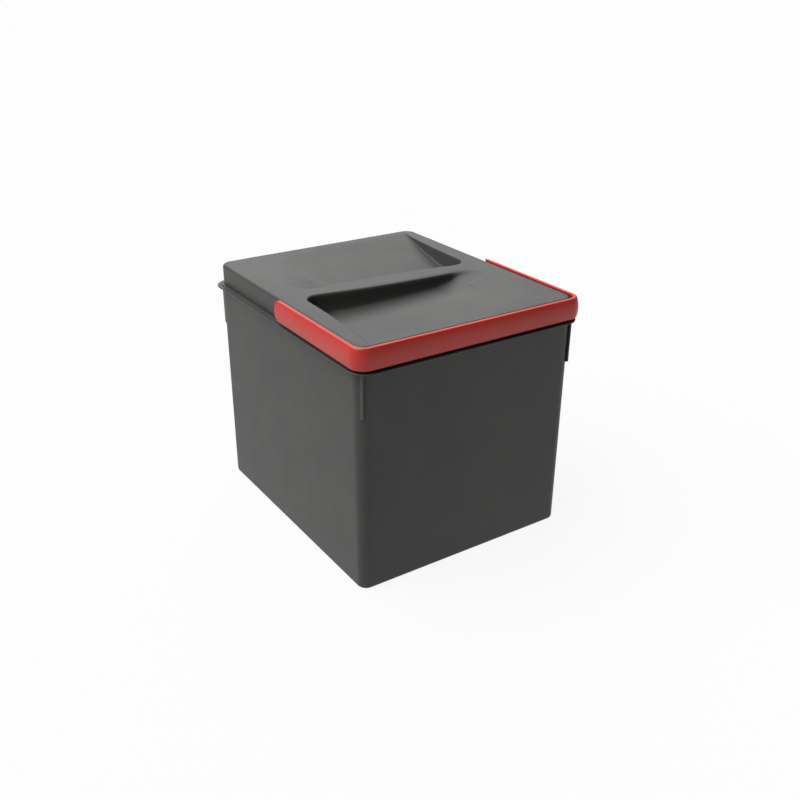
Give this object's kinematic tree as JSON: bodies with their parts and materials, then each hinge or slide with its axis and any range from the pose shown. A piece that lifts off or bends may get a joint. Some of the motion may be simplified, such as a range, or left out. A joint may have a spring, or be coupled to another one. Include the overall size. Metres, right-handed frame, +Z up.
{
  "type": "kitchen drawer waste bin",
  "caption": "Tapered waste bin for a kitchen drawer, with a drop-on lid that has two finger troughs and a swinging carry handle that rests round the front of the rim.",
  "frame": {"origin": "middle of the flat base, on the surface that the bin stands on", "axes": "+Z up, -Y is the front, where the handle's crossbar rests, +X to the right seen from the front"},
  "size_m": [0.258, 0.3, 0.2508],
  "materials": {
    "grey_polypropylene": "fine spark-eroded texture",
    "red_polypropylene": "satin"
  },
  "bodies": {
    "bucket_body": {"bucket": "grey_polypropylene"},
    "handle_body": {"carry_handle": "red_polypropylene"},
    "lid_body": {"lid": "grey_polypropylene"}
  },
  "joints": [
    {"name": "handle_swing", "type": "hinge", "parent": "bucket_body", "child": "handle_body", "pos_m": [0, -0.008, 0.2404], "axis": [-1, 0, 0], "range_deg": [0, 100]},
    {"name": "lid_lift", "type": "slide", "parent": "bucket_body", "child": "lid_body", "axis": [0, 0, 1], "range_m": [0, 0.08]}
  ]
}
